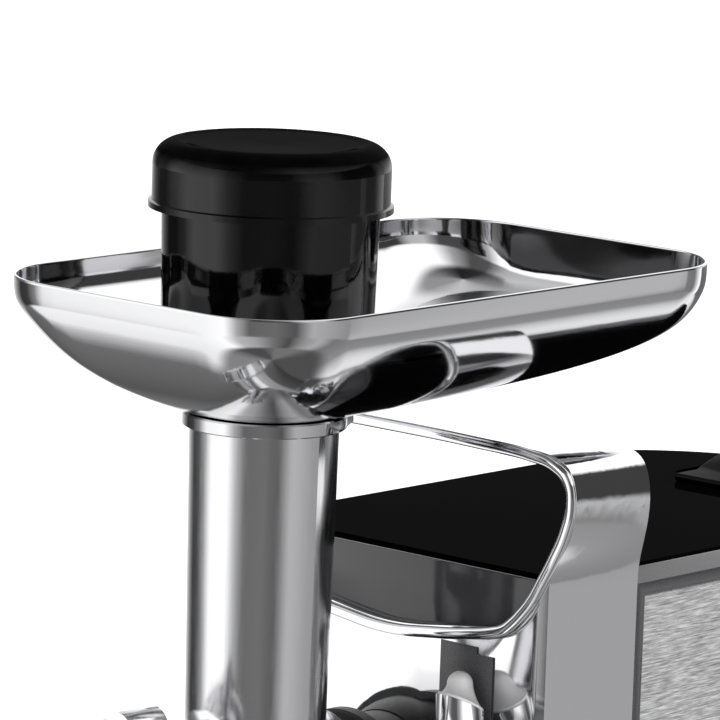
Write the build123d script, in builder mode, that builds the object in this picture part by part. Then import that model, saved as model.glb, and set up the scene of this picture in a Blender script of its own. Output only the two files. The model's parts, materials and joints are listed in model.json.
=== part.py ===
"""Electric meat grinder: steel tray and pusher over a grinding head, chromed front arch, black body.

+X is the right-hand side seen from the front, +Y points to the rear and +Z up. The origin lies under the
middle of the whole machine, on the surface that its rubber feet stand on.
"""
import os
from math import atan2, cos, pi, radians, sin, sqrt

from build123d import *

os.makedirs("parts", exist_ok=True)

# ---- driving dimensions, millimetres ----------------------------------------------------------------
tube_y = -138            # feed tube's axis, and the zero of every distance "from the tube" below
axis_z = 128             # worm and motor axis over the table
neck_z = axis_z + 154    # lower edge of the collar under the tray

tube_top_r = 29.45       # feed tube outside, at the tray and where it meets the barrel
tube_low_r = 28.0
tube_wall = 3.05
barrel_r = 36.5
bore_r = 31.2            # takes a 62 mm cutting plate
plate_r = 31.0
plate_thick = 5
plate_front = -82        # from the tube
thread_r = 38.4
nut_r = 46
nut_lug_r = 8.5
nut_lugs = 6
worm_r = 30.4
worm_pitch = 33
worm_front = -70
worm_rear = 38.2
drive_across = 16        # hexagon on the worm's rear end
neck_r = 24              # the head's round neck, held in the socket collar
socket_r = 27.6          # the socket collar behind its flange

tray_half_x = 82.2       # rim of the tray
tray_front = -81.7
tray_rear = 195.7
tray_corner_r = 39.4
tray_rim = 57.7          # above neck_z
tray_band = 10.5         # upright band round the rim
band_bend = 0.09         # how softly the band turns into the bowl, as a share of the bowl's depth
tray_floor = 5.5
tray_wall = 1.2
tray_hole_r = 24.6

cap_r = 46.6
cap_low = 85.7
cap_top = 112
cup_r = 42.6
plunger_r = 23.6
plunger_low = -88

front_y = 76             # front plane of the chrome arch, from the tube
arch_back = 123.5
rear_y = 362
side_end = 318           # where the rear cover starts
body_half = 90.5
cover_half = 84
column_half = 84.5
shoulder_half = 96.9
top_z = neck_z - 59      # the flat black top
cover_deep = 20
base_z = 8
frame_thick = 6.5
wall = 3
foot_r = 11

gap = 0.3                # between pieces that move past each other
running = 0.05           # radial clearance of a shaft in its bearing

# ---- planes, axes and shapes used by many pieces ----------------------------------------------------
worm_plane = Plane(origin=(0, tube_y, axis_z), x_dir=(0, 1, 0), z_dir=(1, 0, 0))
worm_axis = Axis((0, tube_y, axis_z), (0, 1, 0))
stem_plane = Plane(origin=(0, tube_y, neck_z), x_dir=(1, 0, 0), z_dir=(0, -1, 0))
stem_axis = Axis((0, tube_y, neck_z), (0, 0, 1))


def facing(y, z=0.0):
    """Upright plane seen from the front: y from the tube, sketch x is X and sketch y is height over z."""
    return Plane(origin=(0, tube_y + y, z), x_dir=(1, 0, 0), z_dir=(0, -1, 0))


def beside(x, y, z):
    """Upright plane seen from the right: sketch x is the distance rearwards and sketch y is height."""
    return Plane(origin=(x, tube_y + y, z), x_dir=(0, 1, 0), z_dir=(1, 0, 0))


def level(z):
    """Level plane at height z, with its sketch origin on the feed tube's axis."""
    return Plane(origin=(0, tube_y, z), x_dir=(1, 0, 0), z_dir=(0, 0, 1))


def turned(points, plane=worm_plane, axis=worm_axis, mode=Mode.ADD):
    """Revolve a closed outline: (distance along, radius) on the worm, (radius, height) on the stem."""
    with BuildSketch(plane) as profile:
        with BuildLine():
            Polyline(*points, close=True)
        make_face()
    revolve(profile.sketch, axis=axis, mode=mode)


def stem(points, mode=Mode.ADD):
    """Revolve a closed (radius, height) outline round the feed tube's axis."""
    turned(points, stem_plane, stem_axis, mode)


def rod(x, z, r, y0, y1, mode=Mode.ADD):
    """Round bar along Y between two distances from the tube, x and z from the worm axis."""
    with BuildSketch(facing(y0, axis_z)) as profile:
        with Locations((x, z)):
            Circle(r)
    extrude(profile.sketch, amount=y0 - y1, mode=mode)


def block(x0, x1, y0, y1, z0, z1, mode=Mode.ADD):
    """Rectangular block between two corners, y from the tube and z over the table."""
    with BuildSketch(level(z0)) as profile:
        with Locations(((x0 + x1) / 2, (y0 + y1) / 2)):
            Rectangle(x1 - x0, y1 - y0)
    extrude(profile.sketch, amount=z1 - z0, mode=mode)


def save(part, name):
    part.part.label = name
    export_step(part.part, f"parts/{name}.step")


# ---- grinder head: feed tube, barrel and neck in one casting ------------------------------------------
with BuildPart() as grinder_head:
    turned([(-80, 0), (-80, thread_r), (-61, thread_r), (-60, barrel_r), (34, barrel_r), (46, 27),
            (50, neck_r), (74, neck_r), (74, 0)])
    stem([(0, -154), (tube_low_r - 0.5, -154), (tube_low_r, -110), (tube_top_r, -gap), (0, -gap)])
    with BuildSketch(beside(0, 0, neck_z)):
        with BuildLine():
            Polyline((27, -0.8), (48, -0.8), (48, -3.6), (31, -11), (27, -11), close=True)
        make_face()
    extrude(amount=3.5, both=True)
    tube_root = [edge for edge in edges() if edge.geom_type != GeomType.CIRCLE and edge.length > 40
                 and abs(edge.center().Z - axis_z) < barrel_r + 4]
    fillet(tube_root, 7)
    turned([(-81, 0), (-81, bore_r), (36, bore_r), (40, 26), (40, 0)], mode=Mode.SUBTRACT)
    turned([(39, 0), (39, 14), (75, 14), (75, 0)], mode=Mode.SUBTRACT)
    stem([(0, -154), (tube_low_r - tube_wall, -154), (tube_top_r - tube_wall, 1), (0, 1)],
         mode=Mode.SUBTRACT)
save(grinder_head, "grinder_head")

with BuildPart() as worm_bush:
    turned([(38.5, 11 + running), (38.5, 18), (40, 18), (40, 14), (72, 14), (72, 11 + running)])
save(worm_bush, "worm_bush")

# ---- cutting plate, its ring nut, the knife and the worm ----------------------------------------------
with BuildPart() as cutting_plate:
    rod(0, 0, plate_r, plate_front, plate_front + plate_thick)
    with BuildSketch(facing(plate_front, axis_z)):
        Circle(5 + running)
        for ring, holes in ((10, 7), (15.5, 12), (21, 17), (26.5, 22)):
            with PolarLocations(ring, holes):
                Circle(2)
    extrude(amount=-plate_thick, mode=Mode.SUBTRACT)
save(cutting_plate, "cutting_plate")

nut_front = plate_front - gap - 3.7
nut_back = -62
with BuildPart() as ring_nut:
    turned([(nut_front, 28), (nut_front, nut_r - 1.5), (nut_front + 1.5, nut_r), (nut_back - 1.5, nut_r),
            (nut_back, nut_r - 1.5), (nut_back, 28)])
    with BuildSketch(facing(nut_front + 2, axis_z)):
        with PolarLocations(nut_r - 1.5, nut_lugs, start_angle=82.5):
            Circle(nut_lug_r)
    extrude(amount=nut_front + 4 - nut_back)
    rod(0, 0, thread_r + gap, plate_front - gap, nut_back + 1, mode=Mode.SUBTRACT)
    rod(0, 0, 28, nut_front - 1, nut_back + 1, mode=Mode.SUBTRACT)
save(ring_nut, "ring_nut")

knife_front = plate_front + plate_thick + gap
with BuildPart() as knife:
    with BuildSketch(facing(knife_front, axis_z)):
        Circle(11)
        with PolarLocations(0, 4):
            Polygon((0, -6), (28, -8), (29, -1), (10, 5), (0, 6), align=None)
        Rectangle(12.1, 12.1, mode=Mode.SUBTRACT)
    extrude(amount=knife_front - worm_front)
save(knife, "knife")

worm_core_r = 15
flight_in = 10           # the flight's root, buried in the core
with BuildPart() as worm:
    rod(0, 0, worm_core_r, worm_front, worm_rear)
    flight_path = Helix(pitch=worm_pitch, height=95, radius=(flight_in + worm_r) / 2,
                        center=(0, tube_y + worm_front + 5, axis_z), direction=(0, 1, 0), mode=Mode.PRIVATE)
    start = flight_path @ 0
    outwards = start - Vector(0, start.Y, axis_z)
    with BuildSketch(Plane(origin=start, x_dir=outwards, z_dir=flight_path % 0)):
        Rectangle(worm_r - flight_in, 4)
    sweep(path=flight_path, is_frenet=True)
    rod(0, 0, 11, worm_rear, 74)
    rod(0, 0, 5, plate_front + 0.5, worm_front)
    with BuildSketch(facing(knife_front, axis_z)):
        Rectangle(12, 12)
    extrude(amount=knife_front - worm_front)
    with BuildSketch(facing(73.5, axis_z)):
        RegularPolygon(drive_across / 2, 6, major_radius=False)
    extrude(amount=-17.5)
save(worm, "worm")


# ---- tray: deep-drawn steel bowl with an upright rim band ---------------------------------------------
def bowl_outline(z, inset=0.0):
    """Half width, front, rear and corner radius of the bowl at height z over the collar's lower edge."""
    down = (tray_rim - tray_band - z) / (tray_rim - tray_band - tray_floor)
    drop = min(1.0, (down + sqrt(down ** 2 + band_bend ** 2)) / 2)
    near = 0.55 * drop + 0.45 * drop ** 4
    far = drop ** 3.7
    half = tray_half_x + (30 - tray_half_x) * near - inset
    front = tray_front + (-30 - tray_front) * near + inset
    rear = tray_rear + (30 - tray_rear) * far - inset
    corner = min(tray_corner_r + (30 - tray_corner_r) * near - inset, half - 0.02, (rear - front) / 2 - 0.02)
    return half, front, rear, corner


bowl_levels = [tray_floor + step * (tray_rim - tray_band - tray_floor) / 10 for step in range(11)]
with BuildPart() as tray:
    for inset, lift, mode in ((0, 0, Mode.ADD), (tray_wall, tray_wall, Mode.SUBTRACT)):
        for z in bowl_levels + [tray_rim - 5, tray_rim + 5 * (lift > 0)]:
            half, front, rear, corner = bowl_outline(z, inset)
            with BuildSketch(level(neck_z + z + lift)):
                with Locations((0, (front + rear) / 2)):
                    RectangleRounded(2 * half, rear - front, corner)
        loft(ruled=True, mode=mode)
    stem([(tray_hole_r, -14), (25.9, -14), (25.9, tray_floor), (tray_hole_r, tray_floor)])
    stem([(0, -15), (tray_hole_r, -15), (tray_hole_r, 10), (0, 10)], mode=Mode.SUBTRACT)
save(tray, "tray")

with BuildPart() as tray_collar:
    stem([(26.0, 0), (31.9, 0), (32.3, 0.4), (32.3, tray_floor - 0.6), (31.7, tray_floor),
          (26.0, tray_floor)])
save(tray_collar, "tray_collar")

# ---- pusher: plunger, storage cup and its lid ---------------------------------------------------------
cup_floor = 14
with BuildPart() as pusher_plunger:
    stem([(0, plunger_low), (plunger_r - 1.6, plunger_low), (plunger_r, plunger_low + 1.6),
          (plunger_r, 8), (28, 8.6), (28, cup_floor), (plunger_r - 2.6, cup_floor),
          (plunger_r - 2.6, plunger_low + 3), (0, plunger_low + 3)])
save(pusher_plunger, "pusher_plunger")

with BuildPart() as pusher_cup:
    stem([(0, cup_floor), (cup_r - 2.4, cup_floor), (cup_r - 1.6, cup_floor + 1), (cup_r, cap_low),
          (cup_r, cap_top - 5.6), (cup_r - 2, cap_top - 5.6), (cup_r - 2, cap_low),
          (cup_r - 3.6, cup_floor + 2.5), (0, cup_floor + 2.5)])
save(pusher_cup, "pusher_cup")

with BuildPart() as pusher_cap:
    with BuildSketch(stem_plane):
        with BuildLine():
            Polyline((0, cap_top - 5.3), (cup_r + gap, cap_top - 5.3), (cup_r + gap, cap_low),
                     (cap_r + 1.3, cap_low), (cap_r + 1.3, cap_low + 2.4), (cap_r, cap_low + 2.9),
                     (cap_r, cap_top - 9.5))
            ThreePointArc((cap_r, cap_top - 9.5), (cap_r - 2.8, cap_top - 2.8), (cap_r - 9.5, cap_top))
            Polyline((cap_r - 9.5, cap_top), (cap_r - 13, cap_top - 0.6), (0, cap_top - 1.6),
                     (0, cap_top - 5.3))
        make_face()
    revolve(axis=stem_axis)
save(pusher_cap, "pusher_cap")

# ---- chrome arch: front columns and the open bridge over the black top ---------------------------------
arch_foot = 12


def arch_face(y, column, shoulder, crown, inset):
    """Arch outline at one depth: upright columns, flared shoulders and a nearly flat crown."""
    column = column - inset
    shoulder = shoulder - inset
    crown = crown - inset
    with BuildSketch(facing(y, neck_z)) as outline:
        with BuildLine():
            for side in (1, -1):
                Line((side * column, arch_foot - neck_z), (side * column, -63))
                Spline((side * column, -63), (side * (column + 0.5 * (shoulder - column)), -47.5),
                       (side * shoulder, -27), (side * (shoulder - 5), crown - 5.4),
                       (side * (shoulder - 21), crown - 1), tangents=((0, 1), (-side, 0.06)))
            ThreePointArc((shoulder - 21, crown - 1), (0, crown + 0.5), (21 - shoulder, crown - 1))
            Line((-column, arch_foot - neck_z), (column, arch_foot - neck_z))
        make_face()
    return outline.sketch


arch_wall = 4.6
with BuildPart() as arch:
    for inset, mode in ((0, Mode.ADD), (arch_wall, Mode.SUBTRACT)):
        loft([arch_face(front_y, column_half, shoulder_half, -6.8, inset),
              arch_face(arch_back, body_half, shoulder_half - 1.9, -8.6, inset)], mode=mode)
save(arch, "arch")

# ---- chrome front panel with the rolled lip of the window, and the dark panel behind it ---------------
panel_half = column_half - arch_wall
lip = ((75.5, -65), (70, -72), (63.5, -78.3), (57, -81.3), (42, -84.1), (25, -86.6))
lip_under = ((77.4, -70.4), (72, -76.6), (65, -82.8), (57.5, -86.3), (42, -89.4), (25, -91.8))
lip_end, lip_mid, lip_under_end, lip_under_mid = -59, -88.8, -67, -94
with BuildPart() as front_panel:
    with BuildSketch(facing(front_y + 3.5, neck_z)):
        with BuildLine():
            Spline((panel_half, lip_end), *lip, (0, lip_mid), *[(-x, z) for x, z in reversed(lip)],
                   (-panel_half, lip_end))
            Polyline((-panel_half, lip_end), (-panel_half, arch_foot - neck_z),
                     (panel_half, arch_foot - neck_z), (panel_half, lip_end))
        make_face()
    extrude(amount=2.5)
    rod(0, 0, socket_r + gap, 70, 80, mode=Mode.SUBTRACT)
save(front_panel, "front_panel")

with BuildPart() as window_lip:
    with BuildSketch(facing(front_y + 1, neck_z)):
        with BuildLine():
            Spline((panel_half, lip_end), *lip, (0, lip_mid), *[(-x, z) for x, z in reversed(lip)],
                   (-panel_half, lip_end))
            Line((-panel_half, lip_end), (-panel_half, lip_under_end))
            Spline((-panel_half, lip_under_end), *[(-x, z) for x, z in lip_under], (0, lip_under_mid),
                   *reversed(lip_under), (panel_half, lip_under_end))
            Line((panel_half, lip_under_end), (panel_half, lip_end))
        make_face()
    extrude(amount=3.5)
save(window_lip, "window_lip")

with BuildPart() as fascia:
    block(-79, 79, front_y + 3.6, front_y + 6, neck_z - 102, neck_z - 60.5)
save(fascia, "fascia")

with BuildPart() as lever_plate:
    block(28.8, 56.5, front_y + 0.4, front_y + 0.9, 118, neck_z - 91.6)
    block(48, 57, front_y, front_y + 1, neck_z - 94.4, neck_z - 88, mode=Mode.SUBTRACT)
    rod(0, 0, socket_r + gap, 60, 80, mode=Mode.SUBTRACT)
save(lever_plate, "lever_plate")

# ---- socket collar that holds the head, and the lever that locks it -----------------------------------
with BuildPart() as socket_collar:
    turned([(50.5, neck_r + gap), (50.5, 31), (51.5, 32), (57, 32), (57.6, 31.4), (57.6, socket_r),
            (85.8, socket_r), (85.8, neck_r + gap)])
save(socket_collar, "socket_collar")

lever_x, lever_y, lever_z = 53.9, 61.8, 149.8     # middle of the lever's hub
lever_tip = 28.5                                  # from the hub along the stem
lever_r = 9.8
grip_r = 9.3
tip_r = 5.2
lever_way = Vector(-0.271, 0.252, 0.929)          # the stem leans inwards and back towards the panel
with BuildPart() as lever_pivot:
    rod(lever_x, lever_z - axis_z, 6, lever_y - 1, front_y + 0.3)
    rod(lever_x, lever_z - axis_z, 9, front_y - 0.8, front_y + 0.3)
save(lever_pivot, "lever_pivot")


def stem_at(along):
    """Point on the lever's stem, a distance from the middle of its hub."""
    return Vector(lever_x, tube_y + lever_y, lever_z) + lever_way * along


def seat(along):
    """Slanting plane across the stem, on which the grip sits."""
    return Plane(origin=stem_at(along), x_dir=(1, 0, 0), z_dir=(0.017, 0.489, 0.873))


ring_thick = 1.2
seat_at = lever_tip - 8
with BuildPart() as lever_hub:
    rod(lever_x, lever_z - axis_z, 12, lever_y - 6, lever_y + 8)
    with BuildSketch(Plane(origin=stem_at(0), x_dir=(1, 0, 0), z_dir=lever_way)):
        Circle(lever_r)
    extrude(amount=lever_tip + 4)
    split(bisect_by=seat(seat_at), keep=Keep.BOTTOM)
    rod(lever_x, lever_z - axis_z, 6 + running, lever_y - 1 - gap, 80, mode=Mode.SUBTRACT)
save(lever_hub, "lever_hub")

with BuildPart() as lever_ring:
    with BuildSketch(seat(seat_at)):
        Circle(grip_r + 0.5)
    extrude(amount=ring_thick)
save(lever_ring, "lever_ring")

with BuildPart() as lever_grip:
    foot = seat(seat_at).offset(ring_thick)
    for plane, radius in ((foot, grip_r), (Plane(origin=stem_at(lever_tip - 3.2), x_dir=(1, 0, 0),
                                                 z_dir=(-0.1, 0.36, 0.92)), 6.2),
                          (Plane(origin=stem_at(lever_tip), x_dir=(1, 0, 0), z_dir=lever_way), tip_r)):
        with BuildSketch(plane):
            Circle(radius)
    loft()
    with Locations(stem_at(lever_tip)):
        Sphere(tip_r)
save(lever_grip, "lever_grip")

# ---- black top cover with the finger well, and its carrying handle ------------------------------------
well_front, well_rear, well_half, well_deep = 292, 346, 34, 17


def cover_plan(z, inset):
    """Plan of the top: narrow between the arch columns, straight sides and a bowed rear edge."""
    with BuildSketch(level(z)) as plan:
        with BuildLine():
            for side in (1, -1):
                Polyline((side * (panel_half - 1 - inset), front_y + 6.2 + inset),
                         (side * (panel_half - 1 - inset), arch_back + 0.3 + inset),
                         (side * (cover_half - inset), arch_back + 0.3 + inset),
                         (side * (cover_half - inset), side_end - inset / 2))
            Line((panel_half - 1 - inset, front_y + 6.2 + inset),
                 (1 + inset - panel_half, front_y + 6.2 + inset))
            ThreePointArc((cover_half - inset, side_end - inset / 2), (0, rear_y - inset),
                          (inset - cover_half, side_end - inset / 2))
        make_face()
    return plan.sketch


with BuildPart() as top_cover:
    extrude(cover_plan(top_z - cover_deep, 0), amount=cover_deep)
    fillet(faces().sort_by(Axis.Z)[-1].edges(), 2.6)
    extrude(cover_plan(top_z - cover_deep, wall), amount=cover_deep - wall, mode=Mode.SUBTRACT)
    block(-well_half - 2.5, well_half + 2.5, well_front - 2.5, well_rear + 2.5, top_z - well_deep - 2.5,
          top_z - wall + 0.5)
    with BuildSketch(level(top_z - well_deep)):
        with Locations((0, (well_front + well_rear) / 2)):
            RectangleRounded(2 * well_half, well_rear - well_front, 12)
    extrude(amount=well_deep + 1, mode=Mode.SUBTRACT)
save(top_cover, "top_cover")

with BuildPart() as carry_handle:
    handle_front, handle_rear = 280, 355
    with BuildSketch(beside(0, 0, top_z)):
        with BuildLine():
            Line((handle_front, 0), (handle_front, 3.6))
            Line((handle_front, 3.6), (295, 3.6))
            Spline((295, 3.6), (302, 6.2), (320, 10.2), (337, 8.5), (348, 3.6))
            Polyline((348, 3.6), (handle_rear, 3), (handle_rear, 0), (347, 0))
            Spline((347, 0), (335, 3.6), (320, 5.2), (303, 2.6), (292, 0))
            Line((292, 0), (handle_front, 0))
        make_face()
    extrude(amount=19, both=True)
save(carry_handle, "carry_handle")

# ---- side frames with their brushed panels, rear cover, base plate and feet ---------------------------
frame_front = arch_back + 0.2
frame_top = top_z - 0.8
frame_low = 14
rim_side, rim_top = 5.2, 11
panel_low, panel_rear = frame_low + 10, side_end - 8
for side, name in ((1, "right"), (-1, "left")):
    inner = side * (body_half - frame_thick)
    outer = side * body_half
    with BuildPart() as side_frame:
        block(min(inner, outer), max(inner, outer), frame_front, side_end - 0.2, frame_low, frame_top)
        chamfer(edges().filter_by(Axis.Y).group_by(Axis.Z)[-1].sort_by(Axis.X)[-1 if side > 0 else 0], 5.4)
        block(min(side * (body_half - 2.6), outer), max(side * (body_half - 2.6), outer),
              frame_front + rim_side, panel_rear, panel_low, frame_top - rim_top, mode=Mode.SUBTRACT)
        if side > 0:
            block(inner - 1, outer + 1, 246, 290, 102, 172, mode=Mode.SUBTRACT)
    save(side_frame, f"side_frame_{name}")
    with BuildPart() as side_panel:
        block(min(side * (body_half - 2.5), outer - side * 0.9), max(side * (body_half - 2.5), outer - side * 0.9),
              frame_front + rim_side + 0.2, panel_rear - 0.2, panel_low + 0.2, frame_top - rim_top - 0.2)
        if side > 0:
            block(inner - 1, outer + 1, 246, 290, 102, 172, mode=Mode.SUBTRACT)
    save(side_panel, f"side_panel_{name}")


rear_low = base_z + 12.2


def rear_plan(inset):
    """Plan of the rear end behind the side frames."""
    with BuildSketch(level(rear_low)) as plan:
        with BuildLine():
            Polyline((body_half - inset, side_end + 4 - inset / 2), (body_half - inset, side_end),
                     (inset - body_half, side_end), (inset - body_half, side_end + 4 - inset / 2))
            ThreePointArc((body_half - inset, side_end + 4 - inset / 2), (0, rear_y - 0.4 - inset),
                          (inset - body_half, side_end + 4 - inset / 2))
        make_face()
    return plan.sketch


gland_z = 52
gland_x = -34
gland_r = 10
reset_x = 34
with BuildPart() as rear_cover:
    extrude(rear_plan(0), amount=top_z - cover_deep - 0.2 - rear_low)
    extrude(rear_plan(wall), amount=top_z - cover_deep - 0.2 - wall - rear_low, mode=Mode.SUBTRACT)
    with BuildSketch(facing(rear_y + 10, 130)):
        with GridLocations(0, 10, 1, 9):
            SlotOverall(84, 4.5)
    extrude(amount=30, mode=Mode.SUBTRACT)
    rod(gland_x, gland_z - axis_z, gland_r + 0.05, 330, rear_y + 5, mode=Mode.SUBTRACT)
    rod(reset_x, gland_z - axis_z, 6.3, 330, rear_y + 5, mode=Mode.SUBTRACT)
save(rear_cover, "rear_cover")

with BuildPart() as base_plate:
    with BuildSketch(level(base_z)):
        with BuildLine():
            Polyline((-86, side_end + 2), (-86, arch_back + 1), (-78, arch_back + 1), (-78, front_y + 6.2),
                     (78, front_y + 6.2), (78, arch_back + 1), (86, arch_back + 1), (86, side_end + 2))
            ThreePointArc((86, side_end + 2), (0, rear_y - 3), (-86, side_end + 2))
        make_face()
    extrude(amount=5.8)
    fillet(faces().sort_by(Axis.Z)[0].edges(), 1.5)
    block(-82, 82, arch_back + 5, side_end - 2, base_z + 5.8, base_z + 12)
    block(-79, 79, arch_back + 8, side_end - 5, base_z + 5.8, base_z + 13, mode=Mode.SUBTRACT)
save(base_plate, "base_plate")

foot_spots = [(x, y) for x in (-64, 64) for y in (104, 312)]
with BuildPart() as feet:
    with BuildSketch(level(0)):
        with Locations(*foot_spots):
            Circle(foot_r)
    extrude(amount=base_z)
    chamfer(faces().sort_by(Axis.Z)[0].edges() + faces().sort_by(Axis.Z)[3].edges(), 0.8)
    with BuildSketch(level(0)):
        with Locations(*foot_spots):
            Circle(4.4)
    extrude(amount=4, mode=Mode.SUBTRACT)
save(feet, "feet")

with BuildPart() as foot_screws:
    with BuildSketch(level(1.6)):
        with Locations(*foot_spots):
            Circle(4.1)
    extrude(amount=2.4)
save(foot_screws, "foot_screws")

# ---- controls: rocker switch and reverse button on the right side, reset button and gland behind ------
rocker_pivot = (body_half - 3, 268)
with BuildPart() as switch_plate:
    block(body_half - 5.5, body_half + 0.8, 246.2, 289.8, 102.2, 171.8)
    fillet(faces().sort_by(Axis.X)[-1].edges(), 0.7)
    block(body_half - 10, body_half + 2, 255, 281, 108, 140, mode=Mode.SUBTRACT)
    with BuildSketch(beside(body_half - 10, 268, 157)):
        Circle(8.4)
    extrude(amount=20, mode=Mode.SUBTRACT)
    with BuildSketch(level(106.5)):
        with Locations(rocker_pivot):
            Circle(1.3 + running)
    extrude(amount=35, mode=Mode.SUBTRACT)
save(switch_plate, "switch_plate")

rocker_x = body_half - 5
with BuildPart() as rocker_switch:
    with BuildSketch(level(108.6)):
        with BuildLine():
            Polyline((rocker_x + 4, 256.2), (rocker_x - 9, 259.6), (rocker_x - 9, 276.4),
                     (rocker_x + 4, 279.8), (rocker_x + 7.5, 279.8))
            ThreePointArc((rocker_x + 7.5, 279.8), (rocker_x + 5.6, 268), (rocker_x + 7.5, 256.2))
            Line((rocker_x + 7.5, 256.2), (rocker_x + 4, 256.2))
        make_face()
    extrude(amount=30.8)
    with BuildSketch(level(107)):
        with Locations(rocker_pivot):
            Circle(1.3)
    extrude(amount=34)
save(rocker_switch, "rocker_switch")

with BuildPart() as reverse_button:
    with BuildSketch(beside(body_half - 9, 268, 157)):
        Circle(8)
    extrude(amount=12.5)
    fillet(faces().sort_by(Axis.X)[-1].edges(), 1.2)
save(reverse_button, "reverse_button")

with BuildPart() as switch_block:
    block(54, 74, 250, 286, 104, 170)
save(switch_block, "switch_block")

with BuildPart() as reset_button:
    rod(reset_x, gland_z - axis_z, 6, 336, 359.5)
    fillet(edges().filter_by(GeomType.CIRCLE).sort_by(Axis.Y)[-1], 1)
save(reset_button, "reset_button")

with BuildPart() as breaker:
    block(reset_x - 9, reset_x + 9, 308, 333, gland_z - 12, gland_z + 12)
save(breaker, "breaker")

with BuildPart() as cord_gland:
    rod(gland_x, gland_z - axis_z, gland_r, 345, 360.5)
    chamfer(edges().filter_by(GeomType.CIRCLE).sort_by(Axis.Y)[-1], 1.5)
    rod(gland_x, gland_z - axis_z, 3.6, 340, 365, mode=Mode.SUBTRACT)
save(cord_gland, "cord_gland")

with BuildPart() as control_board:
    block(-40, 30, 300, 301.6, 60, 120)
    block(-30, -12, 301.6, 318, 70, 88)
    block(2, 20, 301.6, 312, 92, 110)
save(control_board, "control_board")


# ---- gears --------------------------------------------------------------------------------------------
def gear_outline(teeth, module, centre, turn=0.0, slack=0.12):
    """Involute outline, 20 degree teeth, thinned by slack for backlash, tip at 0.9 module."""
    pitch_r = teeth * module / 2
    base_r = pitch_r * cos(radians(20))
    tip_r = pitch_r + 0.9 * module
    root_r = pitch_r - 1.25 * module
    half_tooth = (pi * module / 2 - slack) / (2 * pitch_r)
    involute = sqrt((pitch_r / base_r) ** 2 - 1) - radians(20)
    low_r = max(root_r, base_r)
    points = []
    for tooth in range(teeth):
        middle = turn + 2 * pi * tooth / teeth
        flank = []
        for step in range(5):
            r = low_r + (tip_r - low_r) * step / 4
            roll = sqrt(max((r / base_r) ** 2 - 1, 0))
            flank.append((r, half_tooth + involute - (roll - atan2(roll, 1))))
        root = (root_r, min(flank[0][1], pi / teeth * 0.92))
        side = [root] + flank if root_r < low_r - 0.01 else flank
        points += [(centre[0] + r * cos(middle - a), centre[1] + r * sin(middle - a)) for r, a in side]
        points += [(centre[0] + r * cos(middle + a), centre[1] + r * sin(middle + a))
                   for r, a in reversed(side)]
    return points


def gear_disc(teeth, module, centre, y0, y1, turn=0.0):
    with BuildSketch(facing(y0, axis_z)) as profile:
        with BuildLine():
            Polyline(*gear_outline(teeth, module, centre, turn), close=True)
        make_face()
    extrude(profile.sketch, amount=y0 - y1)


out_teeth, third_teeth, third_module = 56, 14, 1.5
second_teeth, small_teeth, second_module = 50, 14, 1.25
first_teeth, pinion_teeth, first_module = 48, 12, 1.0
third_centres = (out_teeth + third_teeth) * third_module / 2
second_centres = (second_teeth + small_teeth) * second_module / 2
first_centres = (first_teeth + pinion_teeth) * first_module / 2
arbor_b = (0, third_centres)
arbor_a_z = (first_centres ** 2 - second_centres ** 2 + third_centres ** 2) / (2 * third_centres)
arbor_a = (sqrt(first_centres ** 2 - arbor_a_z ** 2), arbor_a_z)


def mesh_turn(lead_centre, lead_turn, lead_teeth, centre, teeth):
    """Turn of a gear whose gap faces the lead gear's tooth along the line of centres."""
    line = atan2(centre[1] - lead_centre[1], centre[0] - lead_centre[0])
    phase = (line - lead_turn) * lead_teeth / (2 * pi)
    return line + pi + (phase + 0.5) * 2 * pi / teeth


third_turn = mesh_turn((0, 0), 0, out_teeth, arbor_b, third_teeth)
small_turn = mesh_turn(arbor_b, 0, second_teeth, arbor_a, small_teeth)
pinion_turn = mesh_turn(arbor_a, 0, first_teeth, (0, 0), pinion_teeth)
pin_r = 4

with BuildPart() as output_gear:
    gear_disc(out_teeth, third_module, (0, 0), 94, 106)
    rod(0, 0, 18, 92.2, 94)
    rod(0, 0, 14, 78, 92.2)
    with BuildSketch(facing(77, axis_z)):
        RegularPolygon(drive_across / 2 + gap, 6, major_radius=False)
    extrude(amount=-16, mode=Mode.SUBTRACT)
save(output_gear, "output_gear")

with BuildPart() as second_gear:
    gear_disc(third_teeth, third_module, arbor_b, 93, 107, third_turn)
    rod(*arbor_b, 8, 107, 108)
    gear_disc(second_teeth, second_module, arbor_b, 108, 116)
    rod(*arbor_b, pin_r + running, 90, 118, mode=Mode.SUBTRACT)
save(second_gear, "second_gear")

with BuildPart() as first_gear:
    gear_disc(small_teeth, second_module, arbor_a, 107.5, 117, small_turn)
    rod(*arbor_a, 7, 117, 118)
    gear_disc(first_teeth, first_module, arbor_a, 118, 124)
    rod(*arbor_a, pin_r + running, 105, 126, mode=Mode.SUBTRACT)
save(first_gear, "first_gear")

with BuildPart() as gear_pins:
    rod(*arbor_b, pin_r, 86, 131)
    rod(*arbor_a, pin_r, 107.5, 131)
save(gear_pins, "gear_pins")

# ---- gearbox: cast cup in front, flat plate behind, sintered bush for the output ----------------------
with BuildPart() as gearbox_housing:
    for grow, y0, y1, mode in ((3, 86, 127, Mode.ADD), (0, 90, 128, Mode.SUBTRACT)):
        with BuildSketch(facing(y0, axis_z)):
            Circle(45.5 + grow)
            with Locations((0, third_centres)):
                Circle(33.8 + grow)
            with Locations(arbor_a):
                Circle(26.5 + grow)
            with Locations((0, 26)):
                Rectangle(67.6 + 2 * grow, 52)
        extrude(amount=y0 - y1, mode=mode)
    rod(0, 0, 17, 85, 92, mode=Mode.SUBTRACT)
    rod(*arbor_b, pin_r, 85, 92, mode=Mode.SUBTRACT)
save(gearbox_housing, "gearbox_housing")

with BuildPart() as output_bush:
    turned([(86, 14 + running), (86, 17), (91.9, 17), (91.9, 14 + running)])
save(output_bush, "output_bush")

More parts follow.
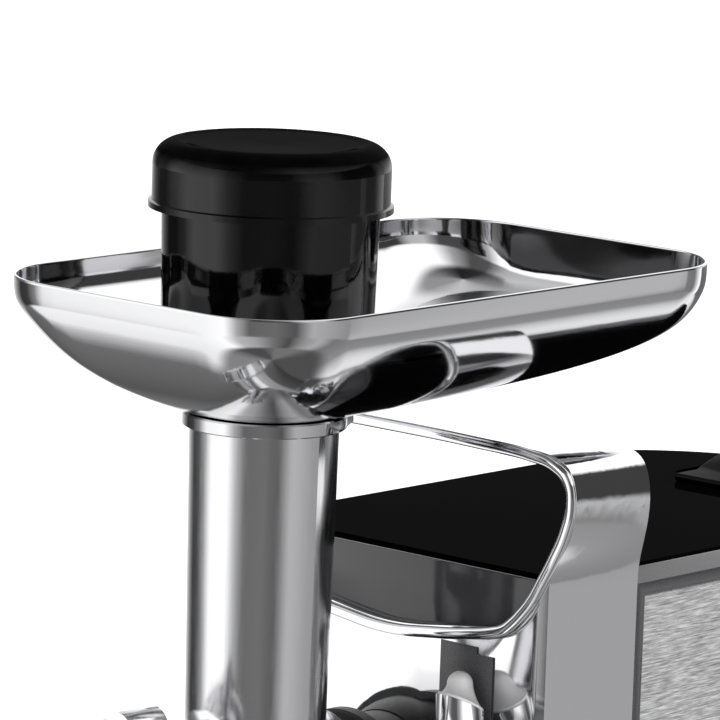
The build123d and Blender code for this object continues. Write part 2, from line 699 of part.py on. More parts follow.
with BuildPart() as gearbox_plate:
    with BuildSketch(facing(127, axis_z)):
        Circle(48.5)
        with Locations((0, third_centres)):
            Circle(36.8)
        with Locations(arbor_a):
            Circle(29.5)
        with Locations((0, 26)):
            Rectangle(73.6, 52)
        with Locations(arbor_a, arbor_b):
            Circle(pin_r, mode=Mode.SUBTRACT)
        Circle(11, mode=Mode.SUBTRACT)
    extrude(amount=-4)
save(gearbox_plate, "gearbox_plate")

# ---- motor: rotor on two bearings, stator with field coils, brush gear --------------------------------
with BuildPart() as rotor_shaft:
    gear_disc(pinion_teeth, first_module, (0, 0), 117.5, 125, pinion_turn)
    rod(0, 0, pin_r, 125, 282)
save(rotor_shaft, "rotor_shaft")

with BuildPart() as motor_bearings:
    for y0 in (127, 270):
        turned([(y0, pin_r + running), (y0, 11), (y0 + 7, 11), (y0 + 7, pin_r + running)])
save(motor_bearings, "motor_bearings")

with BuildPart() as fan:
    rod(0, 0, 9, 137, 152)
    rod(0, 0, 37, 150, 152)
    with BuildSketch(facing(139, axis_z)):
        with PolarLocations(23, 12):
            Rectangle(26, 1.6, rotation=25)
    extrude(amount=-11.5)
    rod(0, 0, pin_r, 130, 156, mode=Mode.SUBTRACT)
save(fan, "fan")

with BuildPart() as armature:
    with BuildSketch(facing(168, axis_z)):
        Circle(25.3)
        with PolarLocations(22.5, 12):
            Rectangle(7, 2.6, mode=Mode.SUBTRACT)
    extrude(amount=-54)
    rod(0, 0, 17, 160, 168)
    rod(0, 0, 17, 222, 230)
    rod(0, 0, pin_r, 158, 232, mode=Mode.SUBTRACT)
save(armature, "armature")

with BuildPart() as commutator:
    with BuildSketch(facing(238, axis_z)):
        Circle(13)
        with PolarLocations(13, 24):
            Rectangle(2.4, 0.8, mode=Mode.SUBTRACT)
        Circle(pin_r, mode=Mode.SUBTRACT)
    extrude(amount=-20)
save(commutator, "commutator")

screw_spots = [(x, z) for x in (-38, 38) for z in (-38, 38)]
with BuildPart() as stator_core:
    with BuildSketch(facing(170, axis_z)):
        RectangleRounded(90, 90, 14)
        Circle(26, mode=Mode.SUBTRACT)
        with Locations(*[(x, z) for x in (-27, 27) for z in (-21, 21)]):
            Rectangle(9, 10, mode=Mode.SUBTRACT)
        with Locations(*screw_spots):
            Circle(2.6, mode=Mode.SUBTRACT)
    extrude(amount=-50)
save(stator_core, "stator_core")

with BuildPart() as field_coils:
    for y0 in (158, 220.2):
        for half in (-1, 1):
            with BuildSketch(facing(y0, axis_z)):
                with BuildLine():
                    CenterArc((0, 0), 38, 90 * half - 55, 110)
                    CenterArc((0, 0), 28, 90 * half - 55, 110)
                    for turn in (-55, 55):
                        angle = radians(90 * half + turn)
                        Line((28 * cos(angle), 28 * sin(angle)), (38 * cos(angle), 38 * sin(angle)))
                make_face()
            extrude(amount=-11.8)
save(field_coils, "field_coils")

with BuildPart() as motor_bracket:
    with BuildSketch(facing(270, axis_z)):
        Circle(16)
        for tilt in (45, 135):
            Rectangle(122, 12, rotation=tilt)
        Circle(11, mode=Mode.SUBTRACT)
        with Locations(*screw_spots):
            Circle(2.5, mode=Mode.SUBTRACT)
    extrude(amount=-7)
save(motor_bracket, "motor_bracket")

with BuildPart() as motor_screws:
    for x, z in screw_spots:
        rod(x, z, 2.5, 131, 277)
        rod(x, z, 4.5, 277, 280)
save(motor_screws, "motor_screws")

with BuildPart() as brush_holders:
    for x0 in (-34, 16):
        block(x0, x0 + 18, 241, 255, axis_z - 5, axis_z + 5)
    block(-34, 34, 243, 253, axis_z - 8, axis_z - 5)
    block(-34, 34, 244, 252, axis_z - 4, axis_z + 4, mode=Mode.SUBTRACT)
    turned([(230, 0), (230, 15), (265, 15), (265, 0)], mode=Mode.SUBTRACT)
save(brush_holders, "brush_holders")

with BuildPart() as brushes:
    for x0 in (-31, 13.6):
        block(x0, x0 + 17.4, 244.2, 251.8, axis_z - 3.8, axis_z + 3.8)
save(brushes, "brushes")

with BuildPart() as motor_cradle:
    block(-46, 46, 172, 186, base_z + 12.4, axis_z - 45.2)
    block(-46, 46, 204, 218, base_z + 12.4, axis_z - 45.2)
    block(-30, 30, 170, 220, base_z + 20, axis_z - 52, mode=Mode.SUBTRACT)
save(motor_cradle, "motor_cradle")
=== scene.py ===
"""Electric meat grinder: steel tray and pusher over a grinding head, chromed front arch, black body.

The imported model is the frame, in metres: +X is the right-hand side seen from the front, +Y points to the
rear and +Z up. The sections follow the machine from the tray down and then from the front to the rear.
"""
import json
import math

import bpy
from mathutils import Matrix, Vector

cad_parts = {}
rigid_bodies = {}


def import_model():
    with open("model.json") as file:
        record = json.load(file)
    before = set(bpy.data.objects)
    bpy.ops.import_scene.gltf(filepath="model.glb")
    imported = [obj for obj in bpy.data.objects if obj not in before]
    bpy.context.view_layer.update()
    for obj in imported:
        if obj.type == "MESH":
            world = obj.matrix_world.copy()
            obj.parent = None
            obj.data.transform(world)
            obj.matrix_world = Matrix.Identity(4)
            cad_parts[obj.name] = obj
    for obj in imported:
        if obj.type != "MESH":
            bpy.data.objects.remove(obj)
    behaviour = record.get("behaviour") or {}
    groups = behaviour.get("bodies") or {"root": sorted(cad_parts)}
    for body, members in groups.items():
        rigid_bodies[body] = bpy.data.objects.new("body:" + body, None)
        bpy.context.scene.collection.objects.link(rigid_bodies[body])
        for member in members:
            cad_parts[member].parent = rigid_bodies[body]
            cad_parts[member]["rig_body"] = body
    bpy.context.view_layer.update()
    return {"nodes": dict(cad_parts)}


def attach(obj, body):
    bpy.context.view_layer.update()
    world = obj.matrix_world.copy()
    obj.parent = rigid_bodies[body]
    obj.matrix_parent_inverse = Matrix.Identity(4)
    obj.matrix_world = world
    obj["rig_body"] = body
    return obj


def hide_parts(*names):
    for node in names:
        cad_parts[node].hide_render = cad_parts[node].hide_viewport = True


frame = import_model()
nodes = frame["nodes"]


# ---- camera ------------------------------------------------------------------------------------------
# A long lens in front of the machine and to its right, a little above the tray and held slightly rolled.
azimuth, elevation, roll = math.radians(42), math.radians(9.67), math.radians(1.9)
aim = Vector((0.0161, -0.1013, 0.3061))
distance = 2.24
camera = bpy.data.objects.new("camera", bpy.data.cameras.new("camera"))
bpy.context.scene.collection.objects.link(camera)
camera.data.lens = 285
turn = (Matrix.Rotation(azimuth, 4, "Z") @ Matrix.Rotation(math.pi / 2 - elevation, 4, "X")
        @ Matrix.Rotation(roll, 4, "Z"))
camera.matrix_world = Matrix.Translation(aim) @ turn @ Matrix.Translation((0, 0, distance))
bpy.context.scene.camera = camera


# ---- studio: pale floor, white room, soft light --------------------------------------------------------
# A pale matt floor under one broad overhead light. The room that the metal reflects is a white tent with
# grey gaps between its panels, which is what draws the upright bands on polished steel.
def linear(code):
    """sRGB hex colour as linear RGBA."""
    parts = [int(code[place:place + 2], 16) / 255 for place in (1, 3, 5)]
    return [c / 12.92 if c <= 0.04045 else ((c + 0.055) / 1.055) ** 2.4 for c in parts] + [1.0]


def add(tree, kind, settings=None, values=None, links=None):
    """A new node with its settings, the values of its inputs, and what its inputs are linked to."""
    node = tree.nodes.new(kind)
    for key, value in (settings or {}).items():
        setattr(node, key, value)
    for socket, value in (values or {}).items():
        node.inputs[socket].default_value = value
    for socket, source in (links or {}).items():
        tree.links.new(source, node.inputs[socket])
    return node


def ramp_stops(ramp, stops):
    """Gives a colour ramp its (position, hex colour) stops."""
    elements = ramp.color_ramp.elements
    while len(elements) < len(stops):
        elements.new(0.5)
    for element, (position, code) in zip(elements, stops):
        element.position = position
        element.color = linear(code)


bpy.context.scene.view_settings.view_transform = "Standard"
world = bpy.data.worlds.new("studio_room")
bpy.context.scene.world = world
world.use_nodes = True
tree = world.node_tree
tree.nodes.clear()
look = add(tree, "ShaderNodeTexCoord")
way = add(tree, "ShaderNodeSeparateXYZ", links={"Vector": look.outputs["Generated"]})
front = add(tree, "ShaderNodeMath", {"operation": "MULTIPLY"}, {1: -1.0}, {0: way.outputs["Y"]})
angle = add(tree, "ShaderNodeMath", {"operation": "ARCTAN2"},
            links={0: way.outputs["X"], 1: front.outputs[0]})
share = add(tree, "ShaderNodeMapRange", values={"From Min": -math.pi, "From Max": math.pi},
            links={"Value": angle.outputs[0]})


def round_room(stops):
    """Colours round the room, from straight behind by the left, the front and the right to behind."""
    ring = add(tree, "ShaderNodeValToRGB", links={"Fac": share.outputs[0]})
    ramp_stops(ring, [((degrees + 180) / 360, code) for degrees, code in stops])
    return ring.outputs["Color"]


def above(below, colour, start, end):
    """Changes from one colour to another between two heights of the view direction."""
    rise = add(tree, "ShaderNodeMapRange", {"interpolation_type": "SMOOTHSTEP"},
               {"From Min": start, "From Max": end}, {"Value": way.outputs["Z"]})
    return add(tree, "ShaderNodeMix", {"data_type": "RGBA"},
               links={"Factor": rise.outputs[0], "A": below, "B": colour}).outputs["Result"]


# Six rings of grey, from straight down to straight up: the dark floor mat, the carpet, the walls up to eye
# level, a belt of white panels with dark gaps, the lit ceiling and its darker middle.
underfoot = round_room(((-180, "#303030"), (-150, "#505050"), (-100, "#5C5C5C"), (-80, "#808080"),
                        (-55, "#808080"), (-20, "#4A4A4A"), (20, "#4A4A4A"), (50, "#707070"), (90, "#707070"),
                        (130, "#4C4C4C")))
carpet = round_room(((-180, "#F0F0F0"), (-155, "#8C8C8C"), (-120, "#505050"), (-98, "#606060"),
                     (-84, "#686868"), (-73, "#E8E8E8"), (-20, "#FFFFFF"), (0, "#B4B4B4"), (20, "#A0A0A0"),
                     (42, "#707070"), (62, "#484848"), (82, "#909090"), (100, "#A8A8A8"), (120, "#747474"),
                     (145, "#808080"), (160, "#8A8A8A"), (172, "#E0E0E0")))
walls = round_room(((-150, "#606060"), (-135, "#E8E8E8"), (-104, "#808080"), (-92, "#303030"),
                    (-75, "#3A3A3A"), (-60, "#808080"), (-45, "#F4F4F4"), (-15, "#FFFFFF"), (0, "#A8A8A8"),
                    (15, "#606060"), (45, "#686868"), (68, "#505050"), (88, "#A8A8A8"), (105, "#A0A0A0"),
                    (136, "#8A8A8A"), (140, "#B0B0B0"), (144, "#B0B0B0"), (147, "#787878"), (162, "#707070"),
                    (178, "#FFFFFF")))
belt = round_room(((-180, "#E0E0E0"), (-165, "#FFFFFF"), (-128, "#FFFFFF"), (-105, "#505050"),
                   (-80, "#707070"), (-62, "#FFFFFF"), (-15, "#FFFFFF"), (0, "#A0A0A0"), (20, "#404040"),
                   (60, "#484848"), (80, "#B8B8B8"), (100, "#B0B0B0"), (118, "#383838"), (158, "#383838"),
                   (170, "#C0C0C0")))
ceiling = round_room(((-180, "#FFFFFF"), (-130, "#C8C8C8"), (-100, "#A0A0A0"), (-60, "#C0C0C0"),
                      (-25, "#A8A8A8"), (0, "#505050"), (25, "#4C4C4C"), (50, "#A0A0A0"), (75, "#FFFFFF")))
overhead = round_room(((-180, "#909090"), (-140, "#C0C0C0"), (-90, "#808080"), (-30, "#585858"),
                       (0, "#2C2C2C"), (50, "#202020"), (85, "#505050"), (140, "#909090")))
room = above(underfoot, carpet, -0.92, -0.82)
room = above(room, walls, -0.44, -0.38)
room = above(room, belt, -0.17, -0.07)
room = above(room, ceiling, 0.40, 0.50)
room = above(room, overhead, 0.80, 0.92)
path = add(tree, "ShaderNodeLightPath")
seen = add(tree, "ShaderNodeMix", {"data_type": "RGBA"}, {"B": linear("#FFFFFF")},
           {"Factor": path.outputs["Is Camera Ray"], "A": room})
glow = add(tree, "ShaderNodeBackground", values={"Strength": 1.5}, links={"Color": seen.outputs["Result"]})
add(tree, "ShaderNodeOutputWorld", links={"Surface": glow.outputs[0]})

sun = bpy.data.objects.new("overhead_light", bpy.data.lights.new("overhead_light", "SUN"))
bpy.context.scene.collection.objects.link(sun)
sun.data.energy = 3.3
sun.data.angle = math.radians(50)
sun.rotation_euler = (math.radians(20), math.radians(-15), 0)
sun.visible_glossy = False

bpy.ops.object.select_all(action="DESELECT")
bpy.ops.mesh.primitive_plane_add(size=24, location=(0, 0, 0))
floor = bpy.context.object
floor.name = "floor"
matt = bpy.data.materials.new("floor_matt_paint")
matt.use_nodes = True
matt.node_tree.nodes["Principled BSDF"].inputs["Base Color"].default_value = linear("#F2F2F2")
matt.node_tree.nodes["Principled BSDF"].inputs["Roughness"].default_value = 0.9
floor.data.materials.append(matt)
floor.visible_glossy = False


# ---- tray --------------------------------------------------------------------------------------------
# The meat tray: a bowl deep-drawn from 1.2 mm stainless sheet with an upright band round its rim and a
# throat that drops into the feed tube. Its long side runs back over the machine. Polished all over.
MM = 0.001
tube_y, neck_z = -0.138, 0.282       # feed tube axis, and the collar's lower edge


def surface(name, colour, roughness, metallic=0.0):
    """A new material with its shader's colour, roughness and metallic set: (material, tree, shader)."""
    material = bpy.data.materials.new(name)
    material.use_nodes = True
    shader = material.node_tree.nodes["Principled BSDF"]
    shader.inputs["Base Color"].default_value = linear(colour)
    shader.inputs["Roughness"].default_value = roughness
    shader.inputs["Metallic"].default_value = metallic
    return material, material.node_tree, shader


def paint(node, material):
    """Gives a CAD node its material."""
    for place in nodes[node].material_slots:
        place.material = material


def pattern_on(tree, scale, **values):
    """A noise pattern on the piece's own coordinates, with waves per metre for each axis."""
    place = add(tree, "ShaderNodeTexCoord")
    stretch = add(tree, "ShaderNodeMapping", values={"Scale": scale},
                  links={"Vector": place.outputs["Object"]})
    noise = add(tree, "ShaderNodeTexNoise", values={"Scale": 1.0, **values},
                links={"Vector": stretch.outputs[0]})
    return noise.outputs["Fac"]


def span(tree, source, low, high, shader, socket):
    """Drives a shader socket between two values with a pattern, whose waves lie mostly from 0.3 to 0.7."""
    spread = add(tree, "ShaderNodeMapRange",
                 values={"From Min": 0.3, "From Max": 0.7, "To Min": low, "To Max": high},
                 links={"Value": source})
    tree.links.new(spread.outputs[0], shader.inputs[socket])


def relief(tree, source, strength, shader, socket="Normal"):
    """Raises and sinks the surface by a pattern, up to 0.2 mm at full strength."""
    bump = add(tree, "ShaderNodeBump", values={"Strength": strength, "Distance": 0.2 * MM},
               links={"Height": source})
    tree.links.new(bump.outputs[0], shader.inputs[socket])


# Polished stainless: nearly a mirror, with a faint haze from the polishing wheel. The lines are drawn
# 0.6 mm apart, coarser than real, so that they show.
steel_polished, tree, shader = surface("stainless_polished", "#D6D6D8", 0.06, 1.0)
lines = pattern_on(tree, (60, 60, 1600), Detail=3.0)
span(tree, lines, 0.0545, 0.0805, shader, "Roughness")
relief(tree, lines, 0.02, shader)


def bowl_outline(z):
    """Half width, front, rear and corner radius of the bowl in mm, at z mm over the collar's lower edge."""
    band_foot, bowl_depth, bend = 47.2, 41.7, 0.09      # the upright band's foot, and how softly it turns in
    down = (band_foot - z) / bowl_depth
    drop = min(1.0, (down + math.hypot(down, bend)) / 2)
    near = 0.55 * drop + 0.45 * drop ** 4
    far = drop ** 3.7                                   # the rear stays wide for longer, then drops steeply
    # From the band's outline at the top, every measure closes in to the throat's round shoulder, 30 mm.
    return (82.2 - 52.2 * near, -81.7 + 51.7 * near, 195.7 - 165.7 * far, 39.4 - 9.4 * near)


def reach(turn, half, front, rear, corner):
    """How far the rounded outline lies from the tube's axis in one direction."""
    near, far = 0.0, 300.0
    core = (half - corner, (rear - front) / 2 - corner)
    for _ in range(26):
        middle = (near + far) / 2
        across = abs(middle * math.cos(turn)) - core[0]
        along = abs(middle * math.sin(turn) - (front + rear) / 2) - core[1]
        apart = math.hypot(max(across, 0), max(along, 0)) + min(max(across, along), 0) - corner
        near, far = (middle, far) if apart < 0 else (near, middle)
    return near


# The directions of the upright ribs of the mesh: fine round the corners, coarser along the straight sides.
half, front, rear, corner = bowl_outline(50)
corner_steps, side_steps, end_steps = 28, 24, 12
turns = []
for centre_x, centre_y, start in ((half - corner, rear - corner, 0), (corner - half, rear - corner, 90),
                                  (corner - half, front + corner, 180), (half - corner, front + corner, 270)):
    spots = [(centre_x + corner * math.cos(math.radians(start + 90 * step / corner_steps)),
              centre_y + corner * math.sin(math.radians(start + 90 * step / corner_steps)))
             for step in range(corner_steps + 1)]
    turns += [math.atan2(y, x) for x, y in spots]
turns += [math.atan2(y, side * half) for side in (-1, 1)
          for y in [front + corner + (rear - front - 2 * corner) * step / side_steps
                    for step in range(1, side_steps)]]
turns += [math.atan2(y, half - corner - 2 * (half - corner) * step / end_steps) for y in (front, rear)
          for step in range(1, end_steps)]
turns = sorted(set(round(t, 6) for t in turns))

# Round rings for the throat and its shoulder as (radius, z), then the bowl's and the band's heights.
rings = [(25.9, -14), (25.9, -6), (25.9, 4.6), (26.8, 5.5), (28.6, 5.5)]
heights = [5.5 + 36 * (step / 26) ** 1.25 for step in range(26)]
heights += [41.5 + step for step in range(16)] + [57.7]
count = len(turns)
points = []
for r, z in rings:
    points += [(r * math.cos(t), r * math.sin(t), z) for t in turns]
for z in heights:
    outline = bowl_outline(z)
    for t in turns:
        r = reach(t, *outline)
        points.append((r * math.cos(t), r * math.sin(t), z))
levels = len(rings) + len(heights)
faces = [(a * count + b, a * count + (b + 1) % count, (a + 1) * count + (b + 1) % count, (a + 1) * count + b)
         for a in range(levels - 1) for b in range(count)]
mesh = bpy.data.meshes.new("feed_tray")
mesh.from_pydata([(x * MM, y * MM + tube_y, z * MM + neck_z) for x, y, z in points], [], faces)
tray = bpy.data.objects.new("feed_tray", mesh)
bpy.context.scene.collection.objects.link(tray)


def activate(piece):
    """Selects one piece alone and makes it active."""
    bpy.ops.object.select_all(action="DESELECT")
    piece.select_set(True)
    bpy.context.view_layer.objects.active = piece


def apply_modifiers(piece):
    """Makes a piece's modifiers part of its mesh, in order."""
    activate(piece)
    for modifier in list(piece.modifiers):
        bpy.ops.object.modifier_apply(modifier=modifier.name)


activate(tray)
bpy.ops.object.mode_set(mode="EDIT")
bpy.ops.mesh.select_all(action="SELECT")
bpy.ops.mesh.normals_make_consistent(inside=False)
bpy.ops.object.mode_set(mode="OBJECT")
sheet = tray.modifiers.new("sheet", "SOLIDIFY")
sheet.thickness = 1.2 * MM
sheet.offset = -1
rim = tray.modifiers.new("rim", "BEVEL")
rim.width = 0.45 * MM
rim.segments = 3
rim.limit_method = "ANGLE"
rim.angle_limit = math.radians(60)
apply_modifiers(tray)
bpy.ops.object.shade_smooth_by_angle(angle=math.radians(35))
tray.data.materials.append(steel_polished)
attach(tray, "tray")
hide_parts("tray")

paint("tray_collar", steel_polished)


# ---- pusher ------------------------------------------------------------------------------------------
# The pusher: a hollow plunger, a storage cup over it and the cup's push-on lid, each injection-moulded in
# ABS against a polished mould, so that they are glossy with a very slight orange peel.
def mottle(tree, source, dark, pale, shader):
    """Varies the base colour between two hex colours with a pattern."""
    spread = add(tree, "ShaderNodeValToRGB", links={"Fac": source})
    ramp_stops(spread, [(0.3, dark), (0.7, pale)])
    tree.links.new(spread.outputs["Color"], shader.inputs["Base Color"])


def polished_black(name):
    """Glossy black ABS: near-black plastic under its own smooth skin, with 2.4 mm waves in it."""
    material, tree, shader = surface(name, "#030303", 0.3)
    shader.inputs["Specular IOR Level"].default_value = 0.0
    shader.inputs["Coat Weight"].default_value = 0.8
    shader.inputs["Coat Roughness"].default_value = 0.06
    flow_marks = pattern_on(tree, (90, 90, 90), Detail=5.0)                # 11 mm across
    mottle(tree, flow_marks, "#020202", "#050505", shader)
    relief(tree, pattern_on(tree, (420, 420, 420), Detail=2.0), 0.05, shader, "Coat Normal")
    return material, tree, shader


black_gloss, tree, shader = polished_black("abs_polished_black")
for node in ("pusher_cup", "pusher_plunger"):
    paint(node, black_gloss)

# The lid's dished top is left satin from the mould. The shine starts on its shoulder, 10 mm below the crown.
black_lid, tree, shader = polished_black("abs_polished_black_lid")
crown = max(vertex.co.z for vertex in nodes["pusher_cap"].data.vertices)
place = add(tree, "ShaderNodeTexCoord")
height = add(tree, "ShaderNodeSeparateXYZ", links={"Vector": place.outputs["Object"]})
fade = add(tree, "ShaderNodeMapRange",
           values={"From Min": crown - 10 * MM, "From Max": crown - 4 * MM, "To Min": 0.8, "To Max": 0.02},
           links={"Value": height.outputs["Z"]})
tree.links.new(fade.outputs[0], shader.inputs["Coat Weight"])
paint("pusher_cap", black_lid)


# ---- grinding head -----------------------------------------------------------------------------------
# Feed tube, barrel and neck are one aluminium die casting, linished lengthways and polished to a satin
# sheen. A sintered bush in the neck carries the worm, and the nut that closes the barrel is cast too.
def eased(node, name, material, width, bend=35, segments=2):
    """A copy of a CAD node as one closed mesh, with edges sharper than bend degrees rounded by width mm."""
    piece = bpy.data.objects.new(name, nodes[node].data.copy())
    bpy.context.scene.collection.objects.link(piece)
    activate(piece)
    bpy.ops.mesh.customdata_custom_splitnormals_clear()
    bpy.ops.object.mode_set(mode="EDIT")
    bpy.ops.mesh.select_all(action="SELECT")
    bpy.ops.mesh.remove_doubles(threshold=2e-6)
    bpy.ops.mesh.dissolve_limited(angle_limit=math.radians(1))
    bpy.ops.object.mode_set(mode="OBJECT")
    edge = piece.modifiers.new("eased_edges", "BEVEL")
    edge.width = width * MM
    edge.segments = segments
    edge.limit_method = "ANGLE"
    edge.angle_limit = math.radians(bend)
    edge.use_clamp_overlap = True
    apply_modifiers(piece)
    bpy.ops.object.shade_smooth_by_angle(angle=math.radians(bend))
    piece.data.materials.clear()
    piece.data.materials.append(material)
    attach(piece, nodes[node]["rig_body"])
    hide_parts(node)


# Polishing lines 1 mm apart round the tube's length, drawn coarser than real.
cast_polished, tree, shader = surface("aluminium_cast_polished", "#E2E2E4", 0.2, 1.0)
lines = pattern_on(tree, (900, 900, 60), Detail=4.0)
span(tree, lines, 0.13, 0.22, shader, "Roughness")
relief(tree, lines, 0.05, shader)
paint("grinder_head", cast_polished)
eased("ring_nut", "barrel_ring_nut", cast_polished, 0.8)

# Ground carbon steel: straight grinding marks across the face, 0.5 mm apart.
blade_steel, tree, shader = surface("carbon_steel_ground", "#A6A6A8", 0.25, 1.0)
marks = pattern_on(tree, (2200, 300, 80), Detail=3.0)
span(tree, marks, 0.18, 0.36, shader, "Roughness")
relief(tree, marks, 0.08, shader)
for node in ("cutting_plate", "knife"):
    paint(node, blade_steel)

# Worm as cast: a sandy skin with 1.5 mm waves.
worm_alloy, tree, shader = surface("aluminium_as_cast", "#A4A4A6", 0.42, 1.0)
skin = pattern_on(tree, (700, 700, 700), Detail=6.0)
span(tree, skin, 0.34, 0.52, shader, "Roughness")
relief(tree, skin, 0.25, shader)
paint("worm", worm_alloy)


# ---- chrome arch, front panel and the bead round the window --------------------------------------------
# The arch is a moulding in chrome-plated ABS that stands on the base plate and bridges the black top. The
# front panel fills it below the window, and one oval bead runs round the whole window opening.
chrome, tree, shader = surface("abs_chrome_plated", "#E6E6E8", 0.05, 1.0)
ripple = pattern_on(tree, (90, 90, 90), Detail=2.0)              # 11 mm sink marks, very shallow
span(tree, ripple, 0.04, 0.075, shader, "Roughness")
relief(tree, ripple, 0.012, shader)
paint("arch", chrome)
eased("front_panel", "chrome_front_panel", chrome, 0.3)

# The bead's centre line on the right-hand half as (x, z) in mm, z over the collar's lower edge.
bead_y = tube_y + 75.2 * MM
half_window = [(94.6, -27), (92.6, -17.6), (85.5, -12.4), (73.6, -10.1), (45, -9.0), (0, -8.6)]
half_lip = [(0, -91.4), (25, -89.2), (42, -86.8), (56.5, -83.9), (62, -82.0), (66.5, -78.7), (71.2, -74),
            (76.6, -67.4), (81.2, -59.5), (86.8, -49.5), (92, -38.5)]
loop = half_lip + half_window + [(-x, z) for x, z in reversed(half_window[:-1])]
loop += [(-x, z) for x, z in reversed(half_lip[1:])]
track = bpy.data.curves.new("window_bead", "CURVE")
track.dimensions = "3D"
line = track.splines.new("BEZIER")
line.bezier_points.add(len(loop) - 1)
for spot, (x, z) in zip(line.bezier_points, loop):
    spot.co = (x * MM, bead_y, neck_z + z * MM)
    spot.handle_left_type = spot.handle_right_type = "AUTO"
line.use_cyclic_u = True
line.resolution_u = 12
track.bevel_depth = 2.45 * MM
track.bevel_resolution = 6
bead = bpy.data.objects.new("window_bead", track)
bpy.context.scene.collection.objects.link(bead)
activate(bead)
bpy.ops.object.convert(target="MESH")
bead = bpy.context.object
bpy.ops.object.mode_set(mode="EDIT")
bpy.ops.mesh.select_all(action="SELECT")
bpy.ops.mesh.remove_doubles(threshold=1e-6)
bpy.ops.transform.resize(value=(1, 0.68, 1), center_override=(0, bead_y, neck_z))
bpy.ops.mesh.normals_make_consistent(inside=False)
bpy.ops.object.mode_set(mode="OBJECT")
bpy.ops.object.shade_smooth()
bead.data.materials.clear()
bead.data.materials.append(chrome)
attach(bead, "housing")
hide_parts("window_lip")

# Glossy dark acrylic behind the window, with slow waves of 4 mm.
dark_gloss, tree, shader = surface("acrylic_dark_grey", "#3E3E40", 0.07)
waves = pattern_on(tree, (260, 260, 260), Detail=2.0)
span(tree, waves, 0.05, 0.10, shader, "Roughness")
relief(tree, waves, 0.03, shader)
eased("fascia", "window_fascia", dark_gloss, 0.5)


# ---- socket collar and lock lever ----------------------------------------------------------------------
# The head's neck sits in a collar on the gearbox. The lever beside it turns a cam that locks the neck: a
# chromed stem and hub with a light grey grip over a white ring, against a dark satin wear plate.
mid_grey, tree, shader = surface("abs_satin_mid_grey", "#4E4E50", 0.3)
stipple = pattern_on(tree, (1400, 1400, 1400), Detail=3.0)       # 0.7 mm spark-eroded grain
span(tree, stipple, 0.24, 0.36, shader, "Roughness")
relief(tree, stipple, 0.04, shader)
eased("lever_plate", "lever_wear_plate", mid_grey, 0.12)

light_grey, tree, shader = surface("abs_satin_light_grey", "#FAFAFA", 0.32)
stipple = pattern_on(tree, (1400, 1400, 1400), Detail=3.0)
span(tree, stipple, 0.26, 0.40, shader, "Roughness")
relief(tree, stipple, 0.06, shader)
paint("lever_grip", light_grey)

white_trim, tree, shader = surface("abs_gloss_white", "#F8F8F8", 0.15)
speck = pattern_on(tree, (900, 900, 900), Detail=2.0)
span(tree, speck, 0.12, 0.2, shader, "Roughness")
eased("lever_ring", "lever_grip_ring", white_trim, 0.3)
for node, slot in (("lever_hub", "chrome"), ("lever_pivot", "nut_chrome")):
    eased(node, "chromed_" + node, chrome, 0.5)


# ---- top cover and carrying handle ----------------------------------------------------------------------
# One black ABS moulding closes the top, clipped over the two side frames and left satin from the mould, so
# that it mirrors very little. Over its finger well a shinier carrying handle is screwed on from inside.
cover_black, tree, shader = surface("abs_satin_black_cover", "#030303", 0.4)
shader.inputs["Specular IOR Level"].default_value = 0.0
shader.inputs["Coat Weight"].default_value = 0.012
shader.inputs["Coat Roughness"].default_value = 0.06
haze = pattern_on(tree, (60, 60, 60), Detail=3.0)                # polishing haze, 17 mm across
span(tree, haze, 0.3, 0.5, shader, "Roughness")
mottle(tree, haze, "#020202", "#030303", shader)
paint("top_cover", cover_black)
handle_black, tree, shader = polished_black("abs_polished_black_handle")
shader.inputs["Coat Weight"].default_value = 0.12
eased("carry_handle", "carrying_handle", handle_black, 1.3, bend=30, segments=3)


# ---- side frames and their brushed panels ---------------------------------------------------------------
# Each side is a moulded frame painted satin grey, with a stainless panel set 0.9 mm below its border. The
# panel is brushed front to back, with marks 0.7 mm apart, drawn coarser than real, and 5 to 15 mm long.
frame_grey, tree, shader = surface("paint_satin_grey", "#454547", 0.28)
shader.inputs["Coat Weight"].default_value = 1.0
shader.inputs["Coat Roughness"].default_value = 0.12
peel = pattern_on(tree, (260, 260, 260), Detail=1.0)                 # 4 mm orange peel in the paint
span(tree, peel, 0.26, 0.32, shader, "Roughness")
panel_steel, tree, shader = surface("stainless_brushed", "#F0F0F0", 0.42, 0.4)
brush = pattern_on(tree, (300, 90, 1400), Detail=3.0, Roughness=0.7)
mottle(tree, brush, "#848484", "#FFFFFF", shader)
span(tree, brush, 0.3, 0.5, shader, "Roughness")
relief(tree, brush, 0.25, shader)
for side in ("left", "right"):
    eased(f"side_frame_{side}", f"{side}_side_frame", frame_grey, 0.6)
    eased(f"side_panel_{side}", f"{side}_brushed_panel", panel_steel, 0.15)


# ---- rear cover, base plate, feet and controls -----------------------------------------------------------
# Satin black ABS mouldings with a spark-eroded grain of 0.6 mm close the rear and the underside and carry the
# switch, the reverse button and the overload reset. The feet and the cord grommet are moulded rubber.
black_satin, tree, shader = surface("abs_textured_black", "#101011", 0.4)
stipple = pattern_on(tree, (1600, 1600, 1600), Detail=4.0)
span(tree, stipple, 0.34, 0.5, shader, "Roughness")
relief(tree, stipple, 0.3, shader)
for node in ("socket_collar", "rear_cover", "base_plate", "rocker_switch", "reverse_button"):
    paint(node, black_satin)
eased("switch_plate", "switch_surround", black_satin, 0.3)

rubber, tree, shader = surface("rubber_moulded_black", "#1A1A1A", 0.75)
bloom = pattern_on(tree, (500, 500, 500), Detail=6.0)
mottle(tree, bloom, "#141414", "#222222", shader)
relief(tree, bloom, 0.25, shader)
for node in ("feet", "cord_gland"):
    paint(node, rubber)

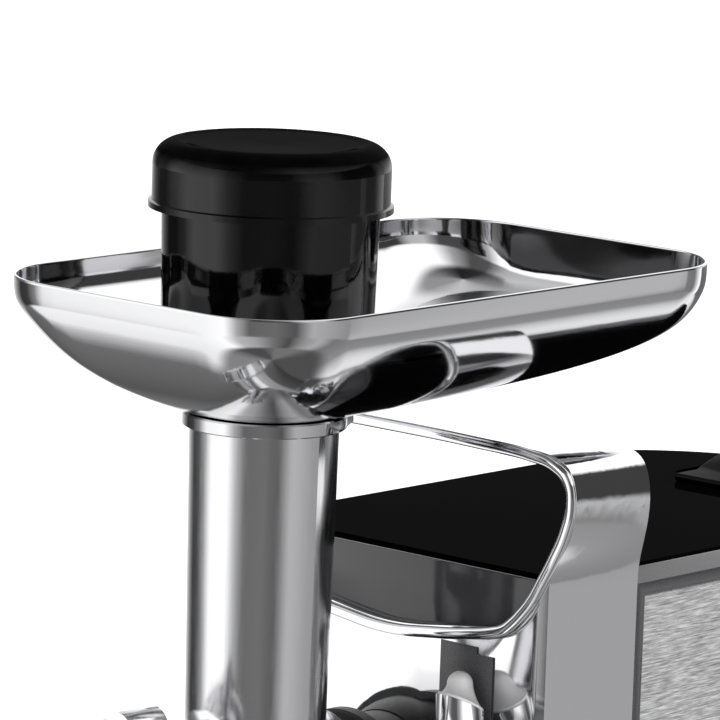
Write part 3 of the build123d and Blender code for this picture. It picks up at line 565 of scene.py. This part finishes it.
red_button, tree, shader = surface("abs_gloss_red", "#A01812", 0.16)
speck = pattern_on(tree, (600, 600, 600), Detail=2.0)
span(tree, speck, 0.12, 0.2, shader, "Roughness")
paint("reset_button", red_button)


# ---- inside: gears, gearbox, motor and electrics ---------------------------------------------------------
# Everything behind the covers, each in its own material: hobbed steel and moulded nylon gears, a die-cast
# gearbox, sintered bronze, stacked laminations, enamelled windings, carbon brushes and moulded holders.
# Each finish: its nodes, dark and pale colour, metallic, roughness and waves per metre along each axis.
inner = {
    "steel_hobbed": (("first_gear", "rotor_shaft", "gear_pins", "motor_bearings", "second_gear"),
                     "#8E8E90", "#A8A8AA", 1.0, 0.3, (300, 2600, 300)),
    "steel_zinc_plated": (("foot_screws", "motor_screws"), "#A2A49C", "#B8B8AE", 1.0, 0.3, (500, 500, 500)),
    "nylon_moulded": (("output_gear", "worm_bush", "fan"), "#D8D4C2", "#E6E2D2", 0.0, 0.42, (400, 400, 400)),
    "aluminium_die_cast": (("gearbox_housing", "gearbox_plate", "motor_bracket"),
                           "#8E8E90", "#B4B4B6", 1.0, 0.45, (600, 600, 600)),
    "bronze_sintered": (("output_bush",), "#8A5A34", "#A8744A", 1.0, 0.45, (900, 900, 900)),
    "copper_commutator": (("commutator",), "#B06A42", "#C8825A", 1.0, 0.3, (300, 2600, 300)),
    "steel_laminations": (("stator_core", "armature"), "#3E3E40", "#5A5A5E", 1.0, 0.5, (30, 2000, 30)),
    "copper_enamelled": (("field_coils",), "#8A3E1C", "#B4602E", 0.8, 0.3, (1300, 1300, 1300)),
    "carbon_pressed": (("brushes",), "#141414", "#202020", 0.1, 0.6, (900, 900, 900)),
    "nylon_black": (("brush_holders", "switch_block", "breaker", "motor_cradle"),
                    "#1C1C1E", "#28282A", 0.0, 0.45, (900, 900, 900)),
    "glass_epoxy_green": (("control_board",), "#0E4424", "#145630", 0.0, 0.35, (1800, 1800, 400)),
}
for name, (fitted, dark, pale, metallic, roughness, scale) in inner.items():
    material, tree, shader = surface(name, pale, roughness, metallic)
    pattern = pattern_on(tree, scale, Detail=4.0)
    mottle(tree, pattern, dark, pale, shader)
    span(tree, pattern, roughness - 0.08, roughness + 0.08, shader, "Roughness")
    relief(tree, pattern, 0.2, shader)
    for node in fitted:
        paint(node, material)
